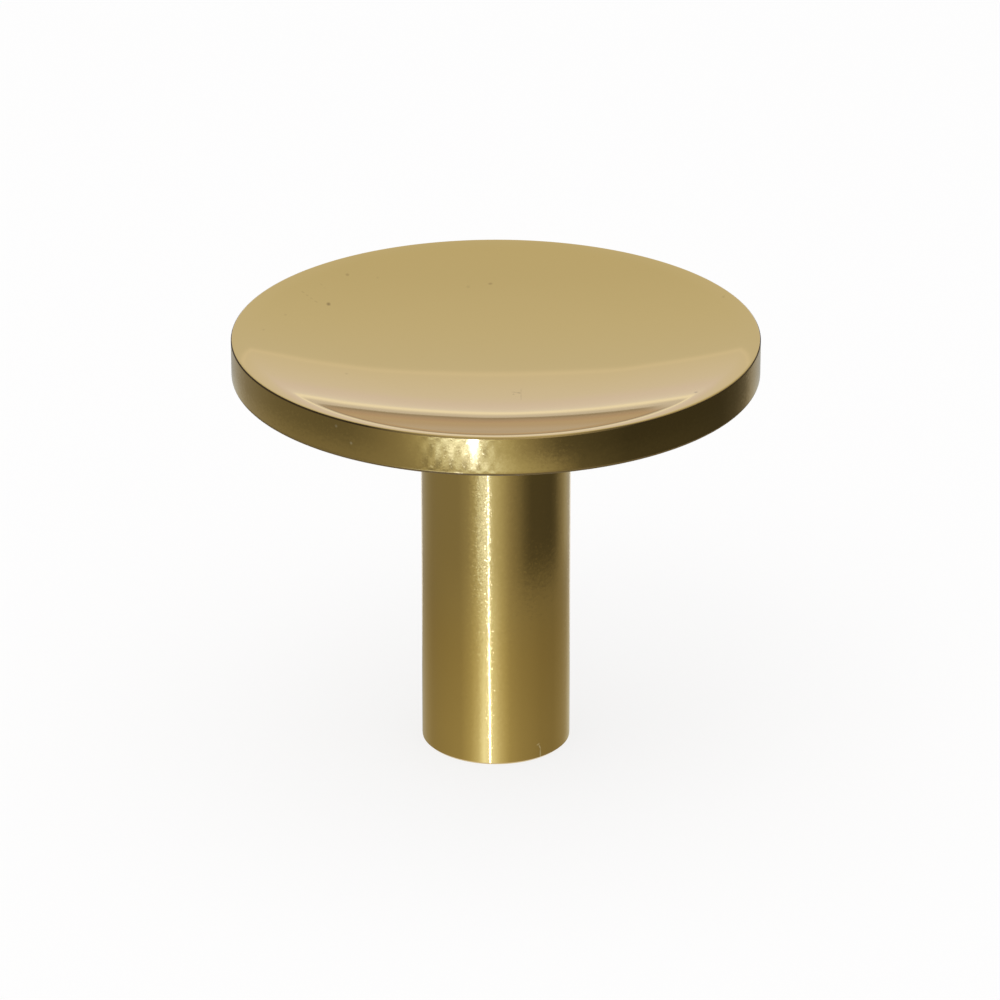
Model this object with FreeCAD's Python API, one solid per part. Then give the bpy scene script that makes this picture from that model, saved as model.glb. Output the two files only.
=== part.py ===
"""Cabinet knob turned from one piece of brass: a dished round face on a plain stem.

All lengths are millimetres. Z runs up the turning axis from the base of the stem,
where the knob sits on the drawer front, to the dished face.
"""
import FreeCAD, Part
import math
import os

# Overall form
FACE_DIAMETER = 35.0
STEM_DIAMETER = 10.0
OVERALL_HEIGHT = 29.2
RIM_THICKNESS = 2.7

# Dish in the face, from its lip inward: each band is an arc that meets the next at its slope
LIP_WIDTH = 0.5
WALL_WIDTH = 7.9
WALL_SLOPE_DEG = 10.8
FLOOR_SLOPE_DEG = 4.8

# Broken edges: rounded on the disc, where fingers go, and bevelled at the foot of the stem
LIP_EDGE_RADIUS = 0.12
UNDER_EDGE_RADIUS = 0.25
BASE_BEVEL = 0.15

# Tapped hole for the fixing screw, coarse M4
THREAD_DIAMETER = 4.0
THREAD_PITCH = 0.7
COUNTERSINK_ALLOWANCE = 0.15
HOLE_DEPTH = 12.0
DRILL_POINT_DEG = 118.0

# Sizes that follow from the ones above
FACE_RADIUS = FACE_DIAMETER / 2
STEM_RADIUS = STEM_DIAMETER / 2
UNDERSIDE_HEIGHT = OVERALL_HEIGHT - RIM_THICKNESS
FLOOR_WIDTH = FACE_RADIUS - LIP_EDGE_RADIUS - LIP_WIDTH - WALL_WIDTH
WALL_SLOPE = math.radians(WALL_SLOPE_DEG)
FLOOR_SLOPE = math.radians(FLOOR_SLOPE_DEG)
TAP_DRILL_RADIUS = (THREAD_DIAMETER - THREAD_PITCH) / 2
MOUTH_RADIUS = THREAD_DIAMETER / 2 + COUNTERSINK_ALLOWANCE
COUNTERSINK_DEPTH = MOUTH_RADIUS - TAP_DRILL_RADIUS
DRILL_TIP_HEIGHT = HOLE_DEPTH + TAP_DRILL_RADIUS / math.tan(math.radians(DRILL_POINT_DEG / 2))

AXIS_FOOT = FreeCAD.Vector(0, 0, 0)
AXIS_UP = FreeCAD.Vector(0, 0, 1)


def at(radius, height):
    """Point of the half section, given as distance from the axis and height above the base."""
    return FreeCAD.Vector(radius, 0, height)


def quarter_round(start, corner, end):
    """Quarter circle from start to end, both one radius away from the sharp corner."""
    centre = start + end - corner
    radius = (start - corner).Length
    middle = centre + (corner - centre).normalize() * radius
    return Part.Arc(start, middle, end).toShape()


def sloped_arc(outer, width, outer_slope, inner_slope):
    """Arc of the dish running inward by width while its slope changes; gives the arc and its end."""
    radius = width / (math.sin(outer_slope) - math.sin(inner_slope))

    def on_arc(slope):
        inward = radius * (math.sin(outer_slope) - math.sin(slope))
        downward = radius * (math.cos(slope) - math.cos(outer_slope))
        return at(outer.x - inward, outer.z - downward)

    inner = on_arc(inner_slope)
    middle = on_arc((outer_slope + inner_slope) / 2)
    return Part.Arc(outer, middle, inner).toShape(), inner


def hole_edges():
    """Tapped hole from the drill tip on the axis out to the mouth in the base."""
    tip = at(0, DRILL_TIP_HEIGHT)
    wall_top = at(TAP_DRILL_RADIUS, HOLE_DEPTH)
    wall_foot = at(TAP_DRILL_RADIUS, COUNTERSINK_DEPTH)
    mouth = at(MOUTH_RADIUS, 0)
    return [
        Part.makeLine(tip, wall_top),
        Part.makeLine(wall_top, wall_foot),
        Part.makeLine(wall_foot, mouth),
    ]


def stem_edges():
    """Flat base, its bevelled edge and the side of the stem up to the sharp corner under the disc."""
    base_end = at(STEM_RADIUS - BASE_BEVEL, 0)
    side_foot = at(STEM_RADIUS, BASE_BEVEL)
    side_top = at(STEM_RADIUS, UNDERSIDE_HEIGHT)
    return [
        Part.makeLine(at(MOUTH_RADIUS, 0), base_end),
        Part.makeLine(base_end, side_foot),
        Part.makeLine(side_foot, side_top),
    ]


def disc_edges():
    """Flat underside of the disc, its upright rim and the two broken edges."""
    underside_start = at(STEM_RADIUS, UNDERSIDE_HEIGHT)
    underside_end = at(FACE_RADIUS - UNDER_EDGE_RADIUS, UNDERSIDE_HEIGHT)
    rim_foot = at(FACE_RADIUS, UNDERSIDE_HEIGHT + UNDER_EDGE_RADIUS)
    rim_top = at(FACE_RADIUS, OVERALL_HEIGHT - LIP_EDGE_RADIUS)
    crest = at(FACE_RADIUS - LIP_EDGE_RADIUS, OVERALL_HEIGHT)
    return [
        Part.makeLine(underside_start, underside_end),
        quarter_round(underside_end, at(FACE_RADIUS, UNDERSIDE_HEIGHT), rim_foot),
        Part.makeLine(rim_foot, rim_top),
        quarter_round(rim_top, at(FACE_RADIUS, OVERALL_HEIGHT), crest),
    ]


def dish_edges():
    """Softened lip, wall and shallow floor of the dish, then the axis down to the drill tip."""
    crest = at(FACE_RADIUS - LIP_EDGE_RADIUS, OVERALL_HEIGHT)
    lip, wall_top = sloped_arc(crest, LIP_WIDTH, 0, WALL_SLOPE)
    wall, floor_edge = sloped_arc(wall_top, WALL_WIDTH, WALL_SLOPE, FLOOR_SLOPE)
    floor, centre = sloped_arc(floor_edge, FLOOR_WIDTH, FLOOR_SLOPE, 0)
    return [lip, wall, floor, Part.makeLine(centre, at(0, DRILL_TIP_HEIGHT))]


def turned_knob():
    """Half section of the knob swept once round the axis."""
    outline = Part.Wire(hole_edges() + stem_edges() + disc_edges() + dish_edges())
    return Part.Face(outline).revolve(AXIS_FOOT, AXIS_UP, 360)


knob = turned_knob()

os.makedirs("parts", exist_ok=True)
knob.exportStep("parts/knob.step")
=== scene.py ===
# %% [markdown]
# # A brass cabinet knob
#
# The knob is one piece of brass, turned on a lathe. Its face is a shallow dish polished to a
# mirror, and its rim and stem keep a fine satin grain that runs round the axis. A blind hole
# tapped M4 in the base takes the screw that comes through the drawer front.
#
# The construction model of the same part is the frame that the looks are built around. Its
# units are metres, Z is the turning axis, and the base of the stem is at Z = 0. Sizes below are
# written in millimetres, as a turner would, and turned into metres where a mesh is made.

import bpy
import numpy as np
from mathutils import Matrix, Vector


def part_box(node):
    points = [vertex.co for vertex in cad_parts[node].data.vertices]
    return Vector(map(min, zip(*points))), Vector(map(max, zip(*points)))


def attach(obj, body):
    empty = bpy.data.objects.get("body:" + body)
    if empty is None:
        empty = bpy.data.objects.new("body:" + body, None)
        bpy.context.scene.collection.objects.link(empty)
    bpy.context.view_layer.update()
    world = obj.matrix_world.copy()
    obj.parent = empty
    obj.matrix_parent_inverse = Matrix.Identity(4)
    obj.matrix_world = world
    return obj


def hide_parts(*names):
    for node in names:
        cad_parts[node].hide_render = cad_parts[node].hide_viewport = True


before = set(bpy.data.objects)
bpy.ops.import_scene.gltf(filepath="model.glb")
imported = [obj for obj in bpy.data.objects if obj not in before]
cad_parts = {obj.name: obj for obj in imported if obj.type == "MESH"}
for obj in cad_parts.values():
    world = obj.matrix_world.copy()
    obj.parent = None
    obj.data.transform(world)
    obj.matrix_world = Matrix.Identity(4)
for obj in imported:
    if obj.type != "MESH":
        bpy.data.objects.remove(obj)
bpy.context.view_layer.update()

MM = 0.001
knob_low, knob_high = (np.array(corner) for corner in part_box("knob"))
print("knob is", np.round((knob_high - knob_low) / MM, 2), "mm")

# %% [markdown]
# ## Sizes
#
# A turned part is described by its half section, so the sizes are the ones a turner would
# need: diameters, lengths, and the widths and slopes of the arcs that make the dish. They could
# be measured on the construction model's mesh, but a named size is easier to read and to change.
# The two overall ones are read from the frame, which keeps the looks on the same part.
#
# The lathe leaves a narrow lip round the dish, level at its crest. Buffing then wears that lip
# to more than twice its width and slopes its crest, so it has a turned and a buffed size.

# %% Sizes of the knob
FACE_RADIUS = round(float(knob_high[0] - knob_low[0]) / MM / 2, 2)
HEIGHT = round(float(knob_high[2]) / MM, 2)
RIM_THICKNESS = 2.7
STEM_RADIUS = 5.0
LIP_EDGE_RADIUS = 0.12
UNDER_EDGE_RADIUS = 0.25
BASE_BEVEL = 0.15
UNDERSIDE = HEIGHT - RIM_THICKNESS

LIP_WIDTH = 0.5
BUFFED_WIDTH = 1.15
BUFFED_SLOPE = np.radians(5.6)
WALL_WIDTH = 7.9
WALL_SLOPE = np.radians(10.8)
FLOOR_SLOPE = np.radians(4.8)
FLOOR_WIDTH = FACE_RADIUS - LIP_EDGE_RADIUS - LIP_WIDTH - WALL_WIDTH
print("face radius", FACE_RADIUS, "mm, height", HEIGHT, "mm")

# %% [markdown]
# ## The half section
#
# Turning gives the part one half section all the way round. It could be drawn by hand as a
# curve, but each of its stretches has a plain formula: a line, a quarter circle where an edge is
# broken, or a slow arc in the dish. Worked out like this, the arcs meet without a kink, which
# matters on a mirror, and a changed size moves everything that hangs on it.

# %% Formulas for the stretches
def straight(start, end, rows):
    """Points evenly spaced on the straight line from start to end, both (radius, height)."""
    share = np.linspace(0, 1, rows + 1)[:, None]
    return np.array(start) * (1 - share) + np.array(end) * share


def rounded(start, corner, end, rows):
    """Quarter circle from start to end: centre + cos(t)(start - centre) + sin(t)(end - centre)."""
    start, corner, end = map(np.array, (start, corner, end))
    centre = start + end - corner
    turn = np.linspace(0, np.pi / 2, rows + 1)[:, None]
    return centre + np.cos(turn) * (start - centre) + np.sin(turn) * (end - centre)


def sloped_arc(outer, width, outer_slope, inner_slope, rows):
    """Arc running inward by width as its slope a goes from outer to inner.
    Its radius is width / (sin outer - sin inner). A point lies radius (sin outer - sin a)
    further in and radius (cos a - cos outer) lower than the outer end."""
    radius = width / (np.sin(outer_slope) - np.sin(inner_slope))
    slope = np.linspace(outer_slope, inner_slope, rows + 1)
    inward = radius * (np.sin(outer_slope) - np.sin(slope))
    downward = radius * (np.cos(slope) - np.cos(outer_slope))
    return np.column_stack([outer[0] - inward, outer[1] - downward])


print("an edge broken in two steps:", rounded((0, 1), (1, 1), (1, 0), 2).round(2).tolist())

# %% The dish, from its crest inward
LIP_ROWS, WALL_ROWS, FLOOR_ROWS = 16, 40, 40

crest = (FACE_RADIUS - LIP_EDGE_RADIUS, HEIGHT)
wall_radius = WALL_WIDTH / (np.sin(WALL_SLOPE) - np.sin(FLOOR_SLOPE))
buffed_into_wall = BUFFED_WIDTH - LIP_WIDTH
meeting_slope = np.arcsin(np.sin(WALL_SLOPE) - buffed_into_wall / wall_radius)
lip = sloped_arc(crest, BUFFED_WIDTH, BUFFED_SLOPE, meeting_slope, LIP_ROWS)
wall = sloped_arc(lip[-1], WALL_WIDTH - buffed_into_wall, meeting_slope, FLOOR_SLOPE, WALL_ROWS)
dish_floor = sloped_arc(wall[-1], FLOOR_WIDTH, FLOOR_SLOPE, 0.0, FLOOR_ROWS)
dish = np.concatenate([lip, wall[1:], dish_floor[1:]])[::-1]
print("dish is", round(HEIGHT - dish[0, 1], 2), "mm deep")

# %% [markdown]
# ## Finishes along the section
#
# The face is polished, the rest of the outside is satin, and the two broken edges of the rim
# carry a thin dark finish that is painted shade, lighter in places with painted highlight. The
# finishes could be told apart later by height and slope, but here each stretch of the section
# remembers its own, so that the polish ends exactly where the buff left off. The hole in the base
# belongs to the thread's own cells further down.

# %% The whole outside, from the dish to the mouth of the hole
THREAD_DIAMETER = 4.0
THREAD_PITCH = 0.7
COUNTERSINK_ALLOWANCE = 0.15
TAP_DRILL_RADIUS = (THREAD_DIAMETER - THREAD_PITCH) / 2
MOUTH_RADIUS = THREAD_DIAMETER / 2 + COUNTERSINK_ALLOWANCE

# The last finish is painted shade: a dark matt colour on the broken edges of the rim
POLISHED, SATIN, TAPPED, SHADED_EDGES = 0, 1, 2, 3
EDGE_ROWS, RIM_ROWS, UNDERSIDE_ROWS, STEM_ROWS, BASE_ROWS = 9, 10, 24, 52, 6
# Rows of the lip's edge that the polish reaches, and of the under edge that the satin reaches
LIP_EDGE_POLISHED, UNDER_EDGE_SATIN = 3, 1

rim_top = (FACE_RADIUS, HEIGHT - LIP_EDGE_RADIUS)
rim_foot = (FACE_RADIUS, UNDERSIDE + UNDER_EDGE_RADIUS)
underside_end = (FACE_RADIUS - UNDER_EDGE_RADIUS, UNDERSIDE)
stem_top = (STEM_RADIUS, UNDERSIDE)
stem_foot = (STEM_RADIUS, BASE_BEVEL)
base_end = (STEM_RADIUS - BASE_BEVEL, 0.0)
lip_edge = rounded(crest, (FACE_RADIUS, HEIGHT), rim_top, EDGE_ROWS)
under_edge = rounded(rim_foot, (FACE_RADIUS, UNDERSIDE), underside_end, EDGE_ROWS)

section = [
    (dish, POLISHED),
    (lip_edge[:LIP_EDGE_POLISHED + 1], POLISHED),
    (lip_edge[LIP_EDGE_POLISHED:], SHADED_EDGES),
    (straight(rim_top, rim_foot, RIM_ROWS), SATIN),
    (under_edge[:UNDER_EDGE_SATIN + 1], SATIN),
    (under_edge[UNDER_EDGE_SATIN:], SHADED_EDGES),
    (straight(underside_end, stem_top, UNDERSIDE_ROWS), SATIN),
    (straight(stem_top, stem_foot, STEM_ROWS), SATIN),
    (straight(stem_foot, base_end, 1), SATIN),
    (straight(base_end, (MOUTH_RADIUS, 0.0), BASE_ROWS), SATIN),
]
print(len(section), "stretches,", sum(len(points) - 1 for points, finish in section), "bands")

# %% [markdown]
# ## The tapped hole
#
# A tap cuts a thread into the drilled wall: a 60 degree groove that climbs once round for every
# pitch. It could be a Screw modifier or a swept profile cut out with a boolean, but both leave
# seams. In a grid of angle and height the groove is only a radius that depends on both, so the
# wall stays one closed sheet. The groove fades out near the end of the hole, where the tap's
# tapered lead stops, and the countersink cuts its first turn away.

# %% The thread as a function of angle and height
HOLE_DEPTH = 12.0
DRILL_POINT = np.radians(118.0)
FLANK_ANGLE = np.radians(30)
# In pitches: how far the thread stops short of the wall's end, its fading lead, and its root's flat
UNTHREADED, LEAD, ROOT_FLAT = 2, 1.5, 1 / 8
SEGMENTS = 240

THREAD_END = HOLE_DEPTH - UNTHREADED * THREAD_PITCH
LEAD_LENGTH = LEAD * THREAD_PITCH
GROOVE_DEPTH = THREAD_DIAMETER / 2 - TAP_DRILL_RADIUS
FLANK = GROOVE_DEPTH * np.tan(FLANK_ANGLE) / THREAD_PITCH
angle = np.linspace(0, 2 * np.pi, SEGMENTS, endpoint=False)


def hole_radius(angle, height):
    """Radius of the hole's wall. The groove is a flat-bottomed 60 degree V in the fraction of
    height / pitch - angle / one turn, and the 45 degree countersink is wider near the mouth."""
    turn = (height / THREAD_PITCH - angle / (2 * np.pi)) % 1.0
    from_middle = np.abs(turn - 0.5)
    groove = np.clip(1 - (from_middle - ROOT_FLAT / 2) / FLANK, 0, 1)
    fade = np.clip((THREAD_END - height) / LEAD_LENGTH, 0, 1)
    return np.maximum(TAP_DRILL_RADIUS + GROOVE_DEPTH * groove * fade, MOUTH_RADIUS - height)


print("thread of", round(THREAD_END / THREAD_PITCH, 1), "turns,", round(GROOVE_DEPTH, 2), "mm deep")

# %% Rows of the hole, up to the tip that the drill left
ROWS_PER_PITCH = 12
DRILLED_ROWS, TIP_ROWS = 3, 6

thread_rows = int(round(THREAD_END / THREAD_PITCH * ROWS_PER_PITCH))
thread_heights = np.linspace(0, THREAD_END, thread_rows + 1)[1:]
drill_tip = HOLE_DEPTH + TAP_DRILL_RADIUS / np.tan(DRILL_POINT / 2)
drilled_end = np.concatenate([
    straight((TAP_DRILL_RADIUS, THREAD_END), (TAP_DRILL_RADIUS, HOLE_DEPTH), DRILLED_ROWS)[1:],
    straight((TAP_DRILL_RADIUS, HOLE_DEPTH), (0.0, drill_tip), TIP_ROWS)[1:-1],
])
print(thread_rows, "rows of thread, tip of the hole at", round(drill_tip, 2), "mm")

# %% [markdown]
# ## From half section to mesh
#
# Turning is one formula: each point (radius, height) of the section becomes a ring of
# (radius cos a, radius sin a, height). The Screw modifier does the same to a curve, but it
# can't change the radius round the ring, as the thread needs. Rings next to each other are
# joined by quads, and the two ends on the axis are closed by a fan round one point.

# %% Rings of the turned part
def all_round(column):
    """Grid with the column's value repeated at every step of angle."""
    return np.repeat(column[:, None], SEGMENTS, axis=1)


profile = np.concatenate([dish] + [points[1:] for points, finish in section[1:]])[1:]
finish_of_band = np.concatenate([np.full(len(points) - 1, finish) for points, finish in section])[1:]

thread_height = all_round(thread_heights)
thread_radius = hole_radius(angle[None, :], thread_height)
grid_radius = np.concatenate([all_round(profile[:, 0]), thread_radius, all_round(drilled_end[:, 0])])
grid_height = np.concatenate([all_round(profile[:, 1]), thread_height, all_round(drilled_end[:, 1])])
rings = len(grid_radius)
grid = np.stack([grid_radius * np.cos(angle), grid_radius * np.sin(angle), grid_height], axis=2)
axis_points = np.array([[0.0, 0.0, dish[0, 1]], [0.0, 0.0, drill_tip]])
vertices = np.concatenate([grid.reshape(-1, 3), axis_points]) * MM
print(rings, "rings of", SEGMENTS, "points")

# %% Faces between the rings and round the axis
ring, step = np.meshgrid(np.arange(rings - 1), np.arange(SEGMENTS), indexing="ij")
after = (step + 1) % SEGMENTS
quads = np.stack([ring * SEGMENTS + step, (ring + 1) * SEGMENTS + step,
                  (ring + 1) * SEGMENTS + after, ring * SEGMENTS + after], axis=2).reshape(-1, 4)

here = np.arange(SEGMENTS)
ahead = (here + 1) % SEGMENTS
last_ring = (rings - 1) * SEGMENTS
dish_centre = np.full(SEGMENTS, rings * SEGMENTS)
dish_fan = np.stack([dish_centre, here, ahead], axis=1)
hole_fan = np.stack([dish_centre + 1, last_ring + ahead, last_ring + here], axis=1)

knob_mesh = bpy.data.meshes.new("knob_turned")
knob_mesh.from_pydata(vertices, [], quads.tolist() + dish_fan.tolist() + hole_fan.tolist())
knob_mesh.shade_smooth()
print(len(knob_mesh.vertices), "points,", 2 * len(quads) + 2 * SEGMENTS, "triangles")

# %% [markdown]
# ## Corners that stay sharp
#
# On the part, light breaks at a few real corners: under the disc, at the bevel of the base and
# at the mouth of the hole. Smooth shading would blur them. A modifier could split the mesh by
# angle, but the corners are known from the section: they are the rings where its heading turns
# by more than 30 degrees. Their edges are marked sharp, and the mesh stays in one piece.

# %% Sharp rings and the finish of each face
SHARP_TURN = np.radians(30)

along = np.diff(profile, axis=0)
heading = np.arctan2(along[:, 1], along[:, 0])
turning = np.abs((np.diff(heading) + np.pi) % (2 * np.pi) - np.pi)
mouth_ring = len(profile) - 1
sharp_rings = [int(row) for row in np.flatnonzero(turning > SHARP_TURN) + 1] + [mouth_ring]

edge_ends = np.empty(len(knob_mesh.edges) * 2, dtype=np.int32)
knob_mesh.edges.foreach_get("vertices", edge_ends)
edge_rings = edge_ends.reshape(-1, 2) // SEGMENTS
is_sharp = (edge_rings[:, 0] == edge_rings[:, 1]) & np.isin(edge_rings[:, 0], sharp_rings)
sharp = knob_mesh.attributes.new("sharp_edge", "BOOLEAN", "EDGE")
sharp.data.foreach_set("value", is_sharp)

band_finish = np.concatenate([finish_of_band, np.full(rings - 1 - len(finish_of_band), TAPPED)])
face_finish = np.concatenate([np.repeat(band_finish, SEGMENTS), np.full(SEGMENTS, POLISHED),
                              np.full(SEGMENTS, TAPPED)])
knob_mesh.polygons.foreach_set("material_index", face_finish.astype(np.int32))
knob_mesh.update()

knob = bpy.data.objects.new("knob_turned", knob_mesh)
bpy.context.scene.collection.objects.link(knob)
print("sharp rings:", sharp_rings)

# %% [markdown]
# ## Helpers for materials
#
# A material is a graph of nodes. Nodes could be placed by hand in the shader editor, but in a
# script one small function that adds a node, gives it its values and links what flows into it
# lets each finish below read as a recipe. Colours are written as on a paint card, in hex, and
# turned into the linear values that light adds up in.

# %% Nodes, colours and an empty material
def add(tree, kind, inputs=(), **settings):
    """Adds a node of that kind. Inputs pairs a socket's name or number with a value or a link."""
    node = tree.nodes.new(kind)
    for name, value in settings.items():
        setattr(node, name, value)
    for socket, value in dict(inputs).items():
        if isinstance(value, bpy.types.NodeSocket):
            tree.links.new(value, node.inputs[socket])
        else:
            node.inputs[socket].default_value = value
    return node


def linear(code):
    """Linear colour from an sRGB hex code: each channel c becomes c / 12.92 below 0.04045,
    and ((c + 0.055) / 1.055) to the power of 2.4 above it."""
    channels = np.array([int(code[place:place + 2], 16) for place in (1, 3, 5)]) / 255
    low, high = channels / 12.92, ((channels + 0.055) / 1.055) ** 2.4
    return tuple(float(c) for c in np.where(channels < 0.04045, low, high)) + (1.0,)


def new_material(name):
    """Material with an empty node tree and its output."""
    material = bpy.data.materials.new(name)
    material.use_nodes = True
    tree = material.node_tree
    tree.nodes.clear()
    return material, tree, tree.nodes.new("ShaderNodeOutputMaterial")


print("middle grey #808080 is", round(linear("#808080")[0], 3), "in linear light")

# %% Patterns in millimetres
def in_millimetres(tree):
    """Place on the piece in mm: Object coordinates are metres, so each is divided by MM."""
    place = add(tree, "ShaderNodeTexCoord").outputs["Object"]
    return add(tree, "ShaderNodeMapping", {"Vector": place, "Scale": (1 / MM,) * 3}).outputs[0]


def noise(tree, place, size, detail):
    """Soft noise whose blobs are about size mm across, with finer layers as detail goes up."""
    return add(tree, "ShaderNodeTexNoise", {
        "Vector": place, "Scale": 1 / size, "Detail": detail}).outputs["Fac"]


def between(tree, share, low, high):
    """Number that goes from low to high as the share goes from 0 to 1."""
    return add(tree, "ShaderNodeMapRange", {
        "Value": share, "To Min": low, "To Max": high}).outputs["Result"]


def blended(tree, share, first, second):
    """Colour that goes from the first hex code to the second as the share goes from 0 to 1."""
    return add(tree, "ShaderNodeMix", {
        "Factor": share, "A": linear(first), "B": linear(second)}, data_type="RGBA").outputs["Result"]


# %% [markdown]
# ## Single marks
#
# A pit, a hairline or a rubbed place sits where it sits on the part. It could be painted into
# an image, but a mark is small and has a simple shape, so each is an ellipsoid in the piece's
# own millimetres: long and thin for a scratch, round for a pit, wide for a worn patch.

# %% Marks as ellipsoids
# A mark counts in full up to the first of these times its half sizes, and not at all past the second
MARK_CORE, MARK_EDGE = 0.4, 1.3


def mark_share(tree, place, marks):
    """Share of marks at a point. A mark has its middle, half sizes, turn and strength. It counts
    its strength well inside it and 0 outside, and where marks meet the stronger counts."""
    share = 0.0
    for middle, half_sizes, turn, strength in marks:
        own = add(tree, "ShaderNodeMapping", {
            "Vector": place, "Location": middle, "Rotation": tuple(np.radians(turn)),
            "Scale": half_sizes}, vector_type="TEXTURE")
        reach = add(tree, "ShaderNodeVectorMath", {0: own.outputs[0]}, operation="LENGTH")
        inside = add(tree, "ShaderNodeMapRange", {
            "Value": reach.outputs["Value"], "From Min": MARK_EDGE, "From Max": MARK_CORE,
            "To Max": strength})
        stronger = add(tree, "ShaderNodeMath", {0: inside.outputs["Result"], 1: share},
                       operation="MAXIMUM")
        share = stronger.outputs[0]
    return share


# %% [markdown]
# ## Polished brass
#
# The face was buffed with rouge on a soft wheel. That leaves a mirror, a faint waviness a few
# millimetres long, and a few pits and hairlines that the wheel could not reach. A perfectly
# smooth metal would look drawn rather than made, so a long low wave bends the mirror, a trace of
# haze dulls it, and the marks that the part shows are set one by one.

# %% Marks on the face
# x and y in mm, half length and half width in mm, turn in degrees, strength
FACE_MARKS = (
    (-10.07, 11.61, 0.13, 0.20, 0, 0.30), (-8.03, 11.57, 0.10, 0.16, 0, 0.10),
    (-1.87, 10.92, 0.12, 0.20, 0, 0.14), (-0.37, 11.38, 0.15, 0.18, -20, 0.34),
    (-11.24, 7.05, 0.14, 0.26, 0, 0.62), (-9.77, -4.48, 0.11, 0.18, 0, 0.18),
    (-15.41, 1.58, 0.10, 0.18, 0, 0.12), (-14.05, 4.55, 0.10, 0.18, 0, 0.12),
    (15.28, 6.92, 0.10, 0.20, 0, 0.18), (12.93, -9.49, 0.13, 0.18, 0, 0.50),
    (-12.99, 8.36, 0.16, 0.08, -52, 0.18), (-12.70, 7.98, 0.12, 0.08, -52, 0.16),
    (-12.41, 7.61, 0.14, 0.08, -52, 0.13), (-12.08, 7.19, 0.16, 0.08, -52, 0.18),
    (-11.80, 9.81, 0.14, 0.07, -62, 0.10), (-11.55, 9.36, 0.12, 0.07, -62, 0.08),
    (1.21, -6.88, 0.20, 0.08, -15, 0.32), (1.50, -7.02, 0.18, 0.12, -40, 0.42),
    (1.15, -7.29, 0.08, 0.12, 0, 0.30), (1.64, -6.60, 0.06, 0.45, 0, 0.14),
    (1.64, -7.80, 0.06, 0.70, 0, 0.16),
)
# Each is as tall as the knob, so that it reaches the dish at any depth
FACE_SPOTS = [((x, y, HEIGHT), (half_length, half_width, HEIGHT), (0, 0, turn), strength)
              for x, y, half_length, half_width, turn, strength in FACE_MARKS]
print(len(FACE_SPOTS), "marks on the face")

# %% Polished brass of the face
POLISHED_BRASS = "#E6CB86"
PIT_BRASS = "#8C7440"
WAVE_SIZE, WAVE_DETAIL = 6.0, 1.0
WAVE_STRENGTH, WAVE_HEIGHT = 0.08, 0.1
HAZE_SIZE, HAZE_DETAIL = 0.12, 3.0
MIRROR_ROUGHNESS = (0.025, 0.05)


def polished_brass():
    """Mirror metal with a long, very low wave and a trace of haze from the buffing wheel."""
    material, tree, output = new_material("polished_brass")
    place = in_millimetres(tree)
    wave = noise(tree, place, WAVE_SIZE, WAVE_DETAIL)
    haze = noise(tree, place, HAZE_SIZE, HAZE_DETAIL)
    bump = add(tree, "ShaderNodeBump", {
        "Height": wave, "Strength": WAVE_STRENGTH, "Distance": WAVE_HEIGHT * MM})
    worn = blended(tree, mark_share(tree, place, FACE_SPOTS), POLISHED_BRASS, PIT_BRASS)
    shader = add(tree, "ShaderNodeBsdfPrincipled", {
        "Base Color": worn, "Metallic": 1.0, "Roughness": between(tree, haze, *MIRROR_ROUGHNESS),
        "Normal": bump.outputs["Normal"]})
    tree.links.new(shader.outputs[0], output.inputs["Surface"])
    return material


knob_mesh.materials.append(polished_brass())
print("finish", POLISHED, "is", knob_mesh.materials[POLISHED].name)

# %% [markdown]
# ## Satin-turned brass
#
# The rim and stem were finished with fine abrasive while the part spun. The grain runs round
# the axis, so it spreads light up and down but keeps it narrow from side to side: a lamp shows
# as one upright line. Every scratch could be modelled, but they are finer than a pixel, so an
# anisotropic metal with a tangent round the axis spreads the light as they do.
#
# Up close, single scratches catch the light as sparks. For these the surface is split into
# flecks a tenth of a millimetre across, and a share of it takes their lean. Left of the middle
# the part is scuffed, and there nearly all of it does.

# %% Marks on rim and stem
# Middle in mm, half sizes in mm, turn in degrees and strength: three strokes of one curled
# scratch near the foot of the stem, then two pits on the rim
STEM_MARKS = (
    ((2.99, -4.0, 0.40), (0.04, 0.5, 0.38), (0, 0, 0), 0.8),
    ((2.95, -4.0, 0.90), (0.04, 0.5, 0.20), (0, -20, 0), 0.8),
    ((2.84, -4.1, 1.12), (0.12, 0.5, 0.05), (0, -25, 0), 0.7),
    ((-10.21, -14.21, 28.64), (0.10, 0.10, 0.10), (0, 0, 0), 0.6),
    ((-9.25, -14.86, 27.73), (0.10, 0.10, 0.10), (0, 0, 0), 0.6),
)
# The scuffed patch left of the middle, where the flecks stand out
SCUFFS = (((-1.15, -5.0, 16.5), (0.75, 2.0, 9.0), (0, 0, 0), 1.0),)
FLECK_SHARE, SCUFFED_SHARE = 0.3, 0.9
print(len(STEM_MARKS), "marks and", len(SCUFFS), "scuffed patch")

# %% Flecks that each lean their own way
FLECK_SIZE = 0.1
FLECK_TILT = 0.2
# Squared length of the random vector below which a fleck lies true, and at which it leans in full
LEAN_FROM, LEAN_FULL = 0.05, 0.75
MIDDLE_GREY = (0.5, 0.5, 0.5)


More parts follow.
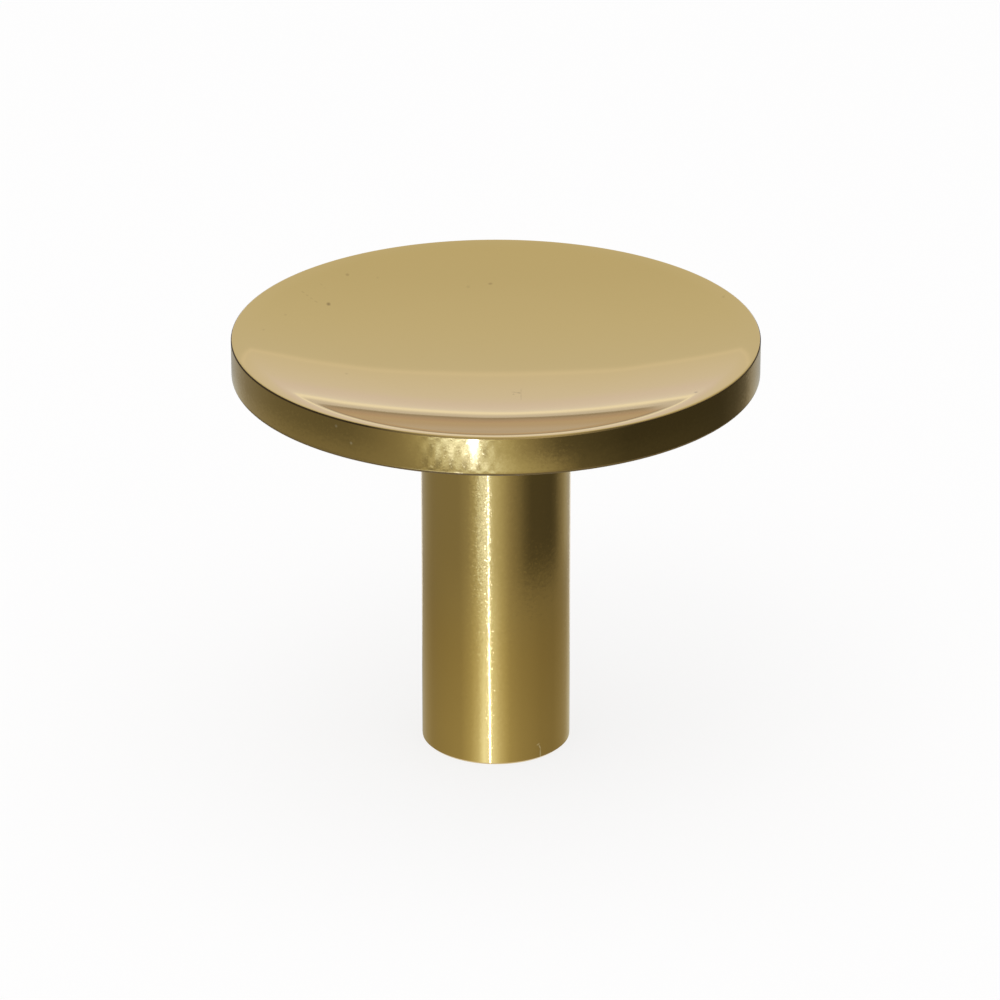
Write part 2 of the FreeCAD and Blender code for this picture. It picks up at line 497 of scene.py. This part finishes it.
def fleck_normal(tree, place, normal):
    """Normal of the flecks. A fleck's lean is a random vector times what its squared length has
    over a limit, so that most of them lean very little and a few stand out."""
    flecks = add(tree, "ShaderNodeTexVoronoi", {"Vector": place, "Scale": 1 / FLECK_SIZE})
    lean = add(tree, "ShaderNodeVectorMath", {0: flecks.outputs["Color"], 1: MIDDLE_GREY},
               operation="SUBTRACT").outputs[0]
    squared = add(tree, "ShaderNodeVectorMath", {0: lean, 1: lean}, operation="DOT_PRODUCT")
    amount = add(tree, "ShaderNodeMapRange", {
        "Value": squared.outputs["Value"], "From Min": LEAN_FROM, "From Max": LEAN_FULL,
        "To Max": FLECK_TILT})
    tilt = add(tree, "ShaderNodeVectorMath", {0: lean, "Scale": amount.outputs["Result"]},
               operation="SCALE")
    leaning = add(tree, "ShaderNodeVectorMath", {0: normal, 1: tilt.outputs[0]}, operation="ADD")
    return add(tree, "ShaderNodeVectorMath", {0: leaning.outputs[0]}, operation="NORMALIZE").outputs[0]


# %% Satin-turned brass of rim and stem
SATIN_BRASS = "#CDB068"
SCRATCHED_BRASS = "#FFF0C4"
WAVER_SIZE, WAVER_DETAIL = 0.3, 0.0
WAVER_STRENGTH, WAVER_HEIGHT = 1.0, 0.002
GRAIN_ROUGHNESS, FLECK_ROUGHNESS = 0.13, 0.08
GRAIN_STRETCH, QUARTER_TURN = 0.5, 0.25


def satin_brass():
    """Metal that spreads light more along the axis than round it: a share of it with a slight
    waver in the grain, and the rest broken into leaning flecks."""
    material, tree, output = new_material("satin_turned_brass")
    place = in_millimetres(tree)
    waver = noise(tree, place, WAVER_SIZE, WAVER_DETAIL)
    bump = add(tree, "ShaderNodeBump", {
        "Height": waver, "Strength": WAVER_STRENGTH, "Distance": WAVER_HEIGHT * MM})
    grain_normal = bump.outputs["Normal"]
    tangent = add(tree, "ShaderNodeTangent", direction_type="RADIAL", axis="Z")
    scratched = blended(tree, mark_share(tree, place, STEM_MARKS), SATIN_BRASS, SCRATCHED_BRASS)
    grain, flecked = [add(tree, "ShaderNodeBsdfPrincipled", {
        "Base Color": scratched, "Metallic": 1.0, "Roughness": rough, "Anisotropic": GRAIN_STRETCH,
        "Anisotropic Rotation": QUARTER_TURN, "Tangent": tangent.outputs[0],
        "Normal": normal}).outputs[0] for normal, rough in (
            (grain_normal, GRAIN_ROUGHNESS), (fleck_normal(tree, place, grain_normal), FLECK_ROUGHNESS))]
    share = between(tree, mark_share(tree, place, SCUFFS), FLECK_SHARE, SCUFFED_SHARE)
    both = add(tree, "ShaderNodeMixShader", {0: share, 1: grain, 2: flecked})
    tree.links.new(both.outputs[0], output.inputs["Surface"])
    return material


knob_mesh.materials.append(satin_brass())
print("finish", SATIN, "is", knob_mesh.materials[SATIN].name)

# %% [markdown]
# ## Tapped brass
#
# The hole is drilled and tapped and then left alone, so its wall is a little darker and duller
# than the finished outside. The thread itself is in the mesh. The material only has to add the
# uneven gloss that the tap smears on, and soft noise in the roughness does that.

# %% Tapped brass of the hole
TAPPED_BRASS = "#A88C4C"
SMEAR_SIZE, SMEAR_DETAIL = 0.2, 3.0
TAPPED_ROUGHNESS = (0.3, 0.5)


def tapped_brass():
    """Plain cut metal with uneven gloss from the tap."""
    material, tree, output = new_material("tapped_brass")
    smear = noise(tree, in_millimetres(tree), SMEAR_SIZE, SMEAR_DETAIL)
    shader = add(tree, "ShaderNodeBsdfPrincipled", {
        "Base Color": linear(TAPPED_BRASS), "Metallic": 1.0,
        "Roughness": between(tree, smear, *TAPPED_ROUGHNESS)})
    tree.links.new(shader.outputs[0], output.inputs["Surface"])
    return material


knob_mesh.materials.append(tapped_brass())
print("finish", TAPPED, "is", knob_mesh.materials[TAPPED].name)

# %% [markdown]
# ## Painted shade along the edges
#
# The buffing wheel stops at the edge of the face. Just below it, where the polish meets the
# satin rim, the rounded edge shows a thin line of dark reflection, and the under edge lies in the
# disc's shade. Both are painted as a dark matt colour. It could be a thin bead of its own, but it
# is far thinner than a bead can be, so it is a colour on the narrow bands of the broken edges.

# %% Painted shade along the edges
# Colour of the painted shade on the edges, and of the painted highlight where it is lighter
EDGE_SHADE_PAINT = "#33260F"
EDGE_HIGHLIGHT_PAINT = "#AC9258"
EDGE_PAINT_ROUGHNESS, EDGE_PAINT_GLOSS = 0.5, 0.1
# Painted highlights, where the shade is lighter: front and right of the lip, and evenly the under edge
PAINTED_HIGHLIGHTS = (
    ((0.5, -17.5, 29.1), (7.0, 6.0, 1.0), (0, 0, 0), 0.8),
    ((13.0, -11.0, 29.2), (9.0, 9.0, 0.06), (0, 0, 0), 0.9),
    ((0.0, 0.0, 26.6), (60.0, 60.0, 1.0), (0, 0, 0), 0.3),
)


def edge_shade_and_highlight():
    """Dark matt colour painted as shade on the broken edges, lighter where a highlight is painted."""
    material, tree, output = new_material("edge_shade_and_highlight")
    highlight_share = mark_share(tree, in_millimetres(tree), PAINTED_HIGHLIGHTS)
    shader = add(tree, "ShaderNodeBsdfPrincipled", {
        "Base Color": blended(tree, highlight_share, EDGE_SHADE_PAINT, EDGE_HIGHLIGHT_PAINT), "Roughness": EDGE_PAINT_ROUGHNESS,
        "Specular IOR Level": EDGE_PAINT_GLOSS})
    tree.links.new(shader.outputs[0], output.inputs["Surface"])
    return material


knob_mesh.materials.append(edge_shade_and_highlight())
print("finish", SHADED_EDGES, "is", knob_mesh.materials[SHADED_EDGES].name)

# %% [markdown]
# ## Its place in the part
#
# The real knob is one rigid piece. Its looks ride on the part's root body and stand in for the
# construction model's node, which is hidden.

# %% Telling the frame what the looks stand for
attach(knob, "root")
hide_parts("knob")
print(knob.name, "rides on root and stands in for knob")

# %% [markdown]
# ## Floor
#
# The knob stands on a pale floor that reaches past everything the camera sees. The picture's
# background is pure white. More light on the floor would reach white too, but it would also
# wash out the knob, so instead what looks at the floor, straight or in a reflection, sees it
# mostly as plain white and partly as it is lit: the knob's shadow stays, but faint.

# %% Floor
FLOOR_HALF = 3.0
FLOOR_PAINT = "#F6F6F8"
FLOOR_WHITE = "#FFFFFF"
WHITE_SHARE = 0.8


def floor_paint():
    """Matt pale paint, mixed with plain white where a camera, glossy or transmission ray looks."""
    material, tree, output = new_material("pale_floor")
    paint = add(tree, "ShaderNodeBsdfDiffuse", {"Color": linear(FLOOR_PAINT)})
    white = add(tree, "ShaderNodeEmission", {"Color": linear(FLOOR_WHITE), "Strength": 1.0})
    ray = add(tree, "ShaderNodeLightPath").outputs
    either = add(tree, "ShaderNodeMath", {0: ray["Is Camera Ray"], 1: ray["Is Glossy Ray"]},
                 operation="MAXIMUM")
    looks = add(tree, "ShaderNodeMath", {0: either.outputs[0], 1: ray["Is Transmission Ray"]},
                operation="MAXIMUM")
    share = add(tree, "ShaderNodeMath", {0: looks.outputs[0], 1: WHITE_SHARE}, operation="MULTIPLY")
    mixed = add(tree, "ShaderNodeMixShader", {
        0: share.outputs[0], 1: paint.outputs[0], 2: white.outputs[0]})
    tree.links.new(mixed.outputs[0], output.inputs["Surface"])
    return material


corners = np.array([(-1, -1, 0), (1, -1, 0), (1, 1, 0), (-1, 1, 0)]) * FLOOR_HALF
floor_mesh = bpy.data.meshes.new("floor")
floor_mesh.from_pydata(corners, [], [(0, 1, 2, 3)])
floor_mesh.materials.append(floor_paint())
floor_object = bpy.data.objects.new("floor", floor_mesh)
bpy.context.scene.collection.objects.link(floor_object)
print("floor of", 2 * FLOOR_HALF, "m")

# %% [markdown]
# ## Studio round the knob
#
# The polished dish shows what stands behind the knob, level by level: walls, a bright strip and
# the ceiling of a studio. They could be modelled as a room, but the dish sees them only as tones
# at different heights above the horizon, so the world itself is built that way.

# %% World of the studio
ZENITH = 90.0
# Degrees above the horizon and the tone there
WORLD_BANDS = (
    (0.0, "#FAFAFA"), (1.78, "#FAFAFA"), (1.92, "#D5D2DA"), (8.95, "#D5D2DA"), (9.35, "#FFFEFF"),
    (9.8, "#FFFEFF"), (10.2, "#E9E8F8"), (11.1, "#E4E0F1"), (12.3, "#E1DCED"), (14.0, "#DFDCE4"),
    (18.4, "#DCD9DA"), (18.7, "#E4E0E0"), (19.4, "#D4D2D0"), (27.0, "#D2D0CC"), (36.0, "#CECCC8"),
    (ZENITH, "#CECCC8"),
)


def studio_world():
    """World whose tone depends on height: asin of the direction's Z picks a place on a colour ramp."""
    world = bpy.data.worlds.new("studio")
    world.use_nodes = True
    tree = world.node_tree
    tree.nodes.clear()
    direction = add(tree, "ShaderNodeTexCoord").outputs["Generated"]
    upward = add(tree, "ShaderNodeSeparateXYZ", {"Vector": direction}).outputs["Z"]
    height = add(tree, "ShaderNodeMath", {0: upward}, operation="ARCSINE")
    share = add(tree, "ShaderNodeMath", {0: height.outputs[0], 1: np.pi / 2}, operation="DIVIDE")
    ramp = add(tree, "ShaderNodeValToRGB", {"Fac": share.outputs[0]})
    stops = ramp.color_ramp.elements
    # New stops may start anywhere: the next loop gives each its place
    while len(stops) < len(WORLD_BANDS):
        stops.new(0.5)
    for stop, (degrees, tone) in zip(stops, WORLD_BANDS):
        stop.position = degrees / ZENITH
        stop.color = linear(tone)
    background = add(tree, "ShaderNodeBackground", {"Color": ramp.outputs["Color"], "Strength": 1.0})
    output = tree.nodes.new("ShaderNodeOutputWorld")
    tree.links.new(background.outputs[0], output.inputs["Surface"])
    return world


bpy.context.scene.world = studio_world()
print("world of", len(WORLD_BANDS), "tones")

# %% [markdown]
# ## Lamps
#
# A wide soft lamp overhead and a small one at the front left light the floor and the painted
# edge shade, and give the knob its faint shadow. Metal would mirror them as hard bright squares,
# so its reflections don't see them: what the metal shows is the world, the floor and the two
# sheets below, which are easier to place than lamps.

# %% Lamps
# Name: azimuth from the camera to the right and height angle in degrees, distance, width and
# height in metres, watts
LAMPS = {
    "key": (-30.0, 58.0, 0.9, 0.5, 0.5, 1.0),
    "top": (0.0, 88.0, 1.2, 1.6, 1.6, 7.2),
}


def lamp(name, azimuth, height_angle, distance, width, height, watts):
    """Rectangular lamp on a sphere round the knob, facing its middle."""
    light = bpy.data.lights.new(name, "AREA")
    light.shape = "RECTANGLE"
    light.size, light.size_y, light.energy = width, height, watts
    item = bpy.data.objects.new(name, light)
    bpy.context.scene.collection.objects.link(item)
    a, h = np.radians(azimuth), np.radians(height_angle)
    away = np.array([np.sin(a) * np.cos(h), -np.cos(a) * np.cos(h), np.sin(h)])
    middle = np.array([0.0, 0.0, HEIGHT / 2 * MM])
    item.location = middle + distance * away
    item.rotation_euler = (np.pi / 2 - h, 0.0, a)
    item.visible_glossy = False
    return item


for name, settings in LAMPS.items():
    print(lamp(name, *settings).name, "lamp of", settings[-1], "watts")

# %% [markdown]
# ## A bent sheet for the metal to reflect
#
# Bright metal has no tone of its own: it shows what stands round it. A photographer lays a sheet
# under the part and bends it up in front, grey on one side and black on the other, with two lit
# slots in it and crinkled beside them, and the rim and stem show those tones as upright bands.
# The camera doesn't see the sheet here, and it throws no light or shadow on the floor.
#
# Its tones could be painted on the sheet and judged in the metal, but a round body squeezes its
# reflection so much that this is guesswork. Here they are planned on the knob, by the direction
# in which the metal faces, and each point of the sheet takes the tone of the place that shows it.

# %% Planned tones
# Each pair is a direction from the axis in degrees, 0 facing the camera and positive to the
# right, and the tone that the metal facing that way shows
RIM_TOP_SHOWS = (
    (-78, 0.42), (-69, 0.29), (-54, 0.20), (-40, 0.17), (-33, 0.18), (-27, 0.24), (-21, 0.34),
    (-17.6, 0.46), (-14.3, 0.66), (-9.8, 1.40), (-7.5, 1.55), (0, 0.74), (5.3, 0.42), (10.8, 0.20),
    (14, 0.12), (29, 0.06), (57, 0.06), (64, 0.09), (69, 0.15), (73.6, 0.36), (78, 0.44),
)
RIM_FOOT_SHOWS = (
    (-78, 0.55), (-69, 0.38), (-47, 0.29), (-33, 0.30), (-21, 0.35), (-14, 0.42), (-7.7, 0.62),
    (-3.3, 1.10), (-1.6, 1.06), (5.3, 0.62), (10.8, 0.48), (18.6, 0.16), (29, 0.09), (58, 0.07),
    (64, 0.11), (69, 0.20), (73.6, 0.44), (78, 0.52),
)
STEM_SHOWS = (
    (-75, 0.42), (-58, 0.31), (-30, 0.32), (-22, 0.40), (-16.5, 0.58), (-14, 0.86), (-8.5, 1.30),
    (-1.5, 0.75), (11, 0.37), (23, 0.15), (28, 0.10), (47, 0.09), (52, 0.12), (68, 0.45), (78, 0.50),
)
FOOT_SHOWS = (
    (-75, 0.38), (-58, 0.31), (-28, 0.375), (-20, 0.50), (-13.6, 0.72), (-9, 1.15), (-1.9, 0.97),
    (3.6, 0.67), (11, 0.44), (20, 0.36), (37, 0.29), (50, 0.27), (61, 0.31), (70, 0.36), (78, 0.48),
)


def planned(plan, direction):
    """Tone of a plan in that direction, on a straight line between its entries."""
    places, tones = np.array(plan).T
    return np.interp(direction, places, tones)


print("the stem's middle shows a tone of", round(float(planned(STEM_SHOWS, 0.0)), 2))

# %% [markdown]
# ## Which place on the knob shows a point of the sheet
#
# The sheet is a round wall in front of the knob with a flat foot under it. Seen from above, a
# line of sight that meets the metal facing a degrees off the camera turns by twice that, which
# gives the direction. Seen from the side it keeps its slope, which gives the height.

# %% Mirror directions and heights
CARD_RADIUS = 28.0
CAMERA_RISE = np.radians(23.94)
FACING_STEPS = 24


def facing(azimuth, distance, body_radius):
    """Direction a in which a round body faces where it shows a point of the sheet, from
    azimuth = 2 a - asin(body radius / distance * sin a), solved by putting a back in."""
    turn = np.radians(azimuth)
    a = turn / 2
    for _ in range(FACING_STEPS):
        a = (turn + np.arcsin(body_radius / distance * np.sin(a))) / 2
    return np.degrees(a)


def height_on_rim(azimuth, climb, direction):
    """Height on the rim that shows a point of the sheet: the point's own height plus what the
    sight line climbs on its way there, tan(camera rise) times the level distance between them."""
    between_them = np.radians(azimuth - direction)
    level = np.sqrt(FACE_RADIUS ** 2 + CARD_RADIUS ** 2
                    - 2 * FACE_RADIUS * CARD_RADIUS * np.cos(between_them))
    return climb + level * np.tan(CAMERA_RISE)


print("a point 60 degrees round the sheet shows on the rim at",
      round(float(facing(60.0, CARD_RADIUS, FACE_RADIUS)), 1), "degrees")

# %% Soft steps, bars and crinkles
def ramp_up(value, start, end):
    """Share that goes smoothly from 0 at start to 1 at end: 3 t^2 - 2 t^3."""
    t = np.clip((value - start) / (end - start), 0, 1)
    return t * t * (3 - 2 * t)


def bar(direction, middle, half_width, softness):
    """Share that is 1 within half a width of the middle and falls to 0 over the softness."""
    return np.clip((half_width - np.abs(direction - middle)) / softness + 0.5, 0, 1)


def crinkled(azimuth, climb, folds):
    """Shade of crinkled foil: depth sin(2 pi azimuth / turn) sin(2 pi climb / rise)."""
    turn, rise, depth = folds
    return depth * np.sin(2 * np.pi * azimuth / turn) * np.sin(2 * np.pi * climb / rise)


print("halfway up a soft step the share is", ramp_up(0.5, 0.0, 1.0))

# %% [markdown]
# ## The sheet in two parts
#
# The lower wall and the foot are what the stem shows. The foot is a little brighter toward the
# knob, and a narrow lit slot, leaning slightly, is the light line on the stem. The upper wall is
# what the rim shows, and its slot widens upward into the bright wedge on the rim. Between the
# two parts lies a lightly shaded seam. A darker one would show as an arch on the stem when the
# knob is seen from low down.

# %% What the stem shows
# Heights on the sheet between which the foot's tones give way to the wall's, and how much
# brighter the foot is that far in from the wall
FOOT_END, STEM_START = 0.0, 5.0
FOOT_GAIN, FOOT_REACH = 0.22, 20.0
# Crinkle: degrees round and millimetres up from one fold to the next, and how deep it shades
STEM_CRINKLE = (9.0, 1.6, 0.9)
# Middle, half width and softness of the crinkled stretch, in degrees as the stem faces
STEM_CRINKLED = (-11.0, 5.0, 3.0)
# Lit slot: its tone where the foot ends and how it falls with height, within limits, and its
# place there, how that shifts with height, its half width and softness
SLOT_TONE, SLOT_FALL, SLOT_LIMITS = 7.5, 0.22, (4.0, 9.5)
SLOT_PLACE, SLOT_LEAN, SLOT_HALF_WIDTH, SLOT_SOFTNESS = -5.4, 0.045, 0.35, 0.2


def stem_tone(azimuth, distance, climb):
    """Tone that the stem shows: the foot's plan below and the wall's above, times its crinkle,
    with the slot's tone laid over them."""
    on_stem = facing(azimuth, distance, STEM_RADIUS)
    foot = planned(FOOT_SHOWS, on_stem) * (1 + FOOT_GAIN * np.clip(-climb / FOOT_REACH, 0, 1))
    crinkle = crinkled(azimuth, climb, STEM_CRINKLE) * bar(on_stem, *STEM_CRINKLED)
    stem = planned(STEM_SHOWS, on_stem) * (1 + crinkle)
    stem = foot + (stem - foot) * ramp_up(climb, FOOT_END, STEM_START)
    slot = np.clip(SLOT_TONE - SLOT_FALL * climb, *SLOT_LIMITS)
    in_slot = bar(on_stem, SLOT_PLACE - SLOT_LEAN * climb, SLOT_HALF_WIDTH, SLOT_SOFTNESS)
    return stem + (slot - stem) * in_slot


print("straight ahead, where foot and wall meet, the stem shows a tone of",
      round(float(stem_tone(0.0, CARD_RADIUS, 0.0)), 2))

# %% What the rim shows
# Heights on the rim between which the plan of its foot gives way to the plan of its top
RIM_LOW, RIM_HIGH = 27.0, 28.5
# Its crinkle and where that lies, given as for the stem
RIM_CRINKLE = (4.0, 2.2, 0.8)
RIM_CRINKLED = (-8.0, 8.0, 4.0)
# Lit wedge: the height on the rim where it starts and how far up it grows. Then each value at
# its start and its change per millimetre: tone, place and half width, and last its softness
WEDGE_START, WEDGE_REACH = 27.2, 2.0
WEDGE_TONE, WEDGE_BRIGHTENS = 1.4, 2.2
WEDGE_PLACE, WEDGE_LEAN = -4.35, 0.2
WEDGE_HALF_WIDTH, WEDGE_WIDENS, WEDGE_SOFTNESS = 0.1, 0.48, 0.25


def rim_tone(azimuth, climb, on_rim, rim_height):
    """Tone that the rim shows: the plan of its foot below and of its top above, times its
    crinkle, with the wedge's tone laid over them."""
    low, high = planned(RIM_FOOT_SHOWS, on_rim), planned(RIM_TOP_SHOWS, on_rim)
    rim = low + (high - low) * ramp_up(rim_height, RIM_LOW, RIM_HIGH)
    rim = rim * (1 + crinkled(azimuth, climb, RIM_CRINKLE) * bar(on_rim, *RIM_CRINKLED))
    upper = np.clip(rim_height - WEDGE_START, 0, WEDGE_REACH)
    wedge = WEDGE_TONE + WEDGE_BRIGHTENS * upper
    in_wedge = bar(on_rim, WEDGE_PLACE - WEDGE_LEAN * upper,
                   WEDGE_HALF_WIDTH + WEDGE_WIDENS * upper, WEDGE_SOFTNESS)
    return rim + (wedge - rim) * in_wedge


print("the wedge grows from", 2 * WEDGE_HALF_WIDTH, "to",
      round(2 * (WEDGE_HALF_WIDTH + WEDGE_WIDENS * WEDGE_REACH), 2), "degrees wide")

# %% The whole sheet
# Heights on the rim between which the stem's part gives way to the rim's, and the shaded seam
STEM_END, RIM_START = 24.4, 26.3
SEAM_HEIGHT, SEAM_WIDTH, SEAM_SHADE = 24.6, 1.2, 0.4


def sheet_tone(azimuth, distance, climb):
    """Tone of the sheet: the stem's part below and the rim's above, darkened along the seam by
    shade exp(-(height from the seam / width)^2)."""
    on_rim = facing(azimuth, CARD_RADIUS, FACE_RADIUS)
    rim_height = height_on_rim(azimuth, climb, on_rim)
    stem = stem_tone(azimuth, distance, climb)
    rim = rim_tone(azimuth, climb, on_rim, rim_height)
    tone = stem + (rim - stem) * ramp_up(rim_height, STEM_END, RIM_START)
    return tone * (1 - SEAM_SHADE * np.exp(-((rim_height - SEAM_HEIGHT) / SEAM_WIDTH) ** 2))


# %% [markdown]
# ## From tone to colour
#
# Grey card is neutral, the bright slots are daylight and so cooler, and the foot of the sheet
# catches warm light from the brass itself. One rule for all of it, by tone and by height, keeps
# the sheet believable, where single painted colours would soon disagree.

# %% Colour of a tone
# Share of green and of blue beside red, by tone
GREEN_SHARE = ((0.3, 0.96), (0.6, 1.04), (1.0, 1.15), (1.4, 1.22))
BLUE_SHARE = ((0.3, 0.88), (0.6, 1.03), (1.0, 1.5), (1.4, 1.95), (4.0, 2.7))
# How much green and blue the sheet loses toward its foot, and the heights between which it does
WARM_GREEN, WARM_BLUE = 0.06, 0.22
WARM_FROM, WARM_TO = 10.0, -8.0


def daylight(tone, climb):
    """Colour of a tone: neutral where the sheet is grey, cooler where daylight falls on it, and
    warmer toward its foot, which light from the brass itself reaches."""
    warm = ramp_up(climb, WARM_FROM, WARM_TO)
    green = tone * np.interp(tone, *np.array(GREEN_SHARE).T) * (1 - WARM_GREEN * warm)
    blue = tone * np.interp(tone, *np.array(BLUE_SHARE).T) * (1 - WARM_BLUE * warm)
    return np.stack([tone, green, blue, np.ones_like(tone)], axis=1)


print("a tone of 1 high on the sheet is", daylight(np.array([1.0]), np.array([20.0]))[0].round(2).tolist())

# %% [markdown]
# ## A sheet that only reflections see
#
# A real sheet would show in the picture or shade the floor, and the photographer hides it. In
# Blender an object can be hidden from camera, from soft light and from shadows one by one. The
# tones are stored on the mesh's own points, so no image is needed.

# %% Painted sheets
def spaced(first, last, step):
    """Values from first to last, both counted in, one step apart."""
    return np.arange(first, last + step / 2, step)


def painted_card(name, grid, colors):
    """Sheet over a grid of points in metres that glows in its points' own colours. Only
    reflections see it, and it throws no light or shadow on the floor."""
    rows, columns = grid.shape[:2]
    first = (np.arange(rows - 1)[:, None] * columns + np.arange(columns - 1)).reshape(-1)
    faces = np.stack([first, first + 1, first + columns + 1, first + columns], axis=1)
    mesh = bpy.data.meshes.new(name)
    mesh.from_pydata(grid.reshape(-1, 3), [], faces.tolist())
    painted = mesh.attributes.new("tone", "FLOAT_COLOR", "POINT")
    painted.data.foreach_set("color", colors.reshape(-1))
    material, tree, output = new_material(name)
    read = add(tree, "ShaderNodeAttribute", attribute_name="tone")
    glow = add(tree, "ShaderNodeEmission", {"Color": read.outputs["Color"], "Strength": 1.0})
    tree.links.new(glow.outputs[0], output.inputs["Surface"])
    mesh.materials.append(material)
    item = bpy.data.objects.new(name, mesh)
    bpy.context.scene.collection.objects.link(item)
    item.visible_camera = item.visible_diffuse = item.visible_shadow = False
    print(name, "has", len(mesh.vertices), "points")


# %% The bent sheet in front
# In mm: the foot's near end from the axis, the wall's height, and how far above the floor it lies
CARD_INNER, CARD_TOP, CARD_LIFT = 5.05, 29.0, 0.05
# In degrees: how far round the sheet goes to each side, and the step from point to point
CARD_TURN, CARD_STEP = 150.0, 0.25
FOOT_POINTS, WALL_POINTS = 45, 117

card_path = np.concatenate([np.linspace(CARD_INNER - CARD_RADIUS, 0, FOOT_POINTS),
                            np.linspace(0, CARD_TOP, WALL_POINTS)[1:]])
card_azimuth, climb = np.meshgrid(spaced(-CARD_TURN, CARD_TURN, CARD_STEP), card_path, indexing="ij")
distance = CARD_RADIUS + np.minimum(climb, 0)
card_turn = np.radians(card_azimuth)
card_grid = np.stack([distance * np.sin(card_turn), -distance * np.cos(card_turn),
                      CARD_LIFT + np.maximum(climb, 0)], axis=2) * MM
card_tone = sheet_tone(card_azimuth, distance, climb)
print("tones from", card_tone.min().round(2), "to", card_tone.max().round(2))
painted_card("bent_card", card_grid, daylight(card_tone.reshape(-1), climb.reshape(-1)))

# %% [markdown]
# ## A board behind the knob
#
# The face is a shallow mirror that looks away from the camera. Its near side shows a pinkish tan
# board far behind, narrow enough that it ends before the lip turns away. The world could carry
# the board's tones too, but the world is the same all round, and this one is seen only behind
# the knob. At its sides it is painted like the world behind it, and only reflections see it.

# %% Board behind the knob
# In mm: how far behind the knob it stands, and its points from left to right
BOARD_DISTANCE = 2900.0
BOARD_FIRST, BOARD_LAST, BOARD_STEP = -200.0, 212.0, 4.0
# In mm: where its own tones end on the left and on the right, and over what width to each side
BOARD_LEFT, BOARD_RIGHT, BOARD_SOFT = -86.0, 98.0, 12.0
# In degrees above the horizon: its points from bottom to top
BOARD_BOTTOM, BOARD_TOP, RISE_STEP = -0.5, 8.9, 0.05
# Tone of the world behind it
BOARD_ROOM = "#D5D2DA"
# Degrees above the horizon, as the face sees them, and the tone there
BOARD_TONES = (
    (0.0, "#BDB1A8"), (2.0, "#BDB1A8"), (3.6, "#C4B8AF"), (5.1, "#C0B0A0"), (5.9, "#C2B2A0"),
    (6.6, "#BDA99B"), (7.3, "#B3A49A"), (7.9, "#9B9185"), (8.05, "#9B9185"), (8.25, BOARD_ROOM),
    (ZENITH, BOARD_ROOM),
)

board_x, board_rise = np.meshgrid(spaced(BOARD_FIRST, BOARD_LAST, BOARD_STEP),
                                  spaced(BOARD_BOTTOM, BOARD_TOP, RISE_STEP), indexing="ij")
board_z = HEIGHT + BOARD_DISTANCE * np.tan(np.radians(board_rise))
board_grid = np.stack([board_x, np.full_like(board_x, BOARD_DISTANCE), board_z], axis=2) * MM
on_board = ramp_up(board_x, BOARD_LEFT - BOARD_SOFT, BOARD_LEFT + BOARD_SOFT) * (
    1 - ramp_up(board_x, BOARD_RIGHT - BOARD_SOFT, BOARD_RIGHT + BOARD_SOFT))
rises = np.array([rise for rise, tone in BOARD_TONES])
tones = np.array([linear(tone) for rise, tone in BOARD_TONES])
board_color = np.stack([np.interp(board_rise, rises, channel) for channel in tones.T], axis=2)
room = np.array(linear(BOARD_ROOM))
painted_card("tan_board", board_grid, room + (board_color - room) * on_board[..., None])

# %% [markdown]
# ## Camera
#
# The picture was taken with a long lens from about 24 degrees above the knob. A short lens close
# by would frame it as well, but it would widen the disc against the stem, so distance and lens
# were matched to the outlines of both.

# %% Camera
CAMERA_DISTANCE = 0.400
AIM_HEIGHT = 17.27
AIM_SIDE = 0.275
LENS = 214.8
SENSOR_WIDTH = 36.0

camera_data = bpy.data.cameras.new("camera")
camera_data.lens = LENS
camera_data.sensor_width = SENSOR_WIDTH
camera = bpy.data.objects.new("camera", camera_data)
bpy.context.scene.collection.objects.link(camera)
camera.location = (0.0, -CAMERA_DISTANCE * np.cos(CAMERA_RISE),
                   HEIGHT / 2 * MM + CAMERA_DISTANCE * np.sin(CAMERA_RISE))
aim = np.array([AIM_SIDE * MM, 0.0, AIM_HEIGHT * MM]) - np.array(camera.location)
camera.rotation_euler = (np.arctan2(np.hypot(aim[0], aim[1]), -aim[2]), 0.0, np.arctan2(-aim[0], aim[1]))
bpy.context.scene.camera = camera
bpy.context.scene.view_settings.view_transform = "Standard"
print("camera at", np.round(np.array(camera.location), 3).tolist(), "m")
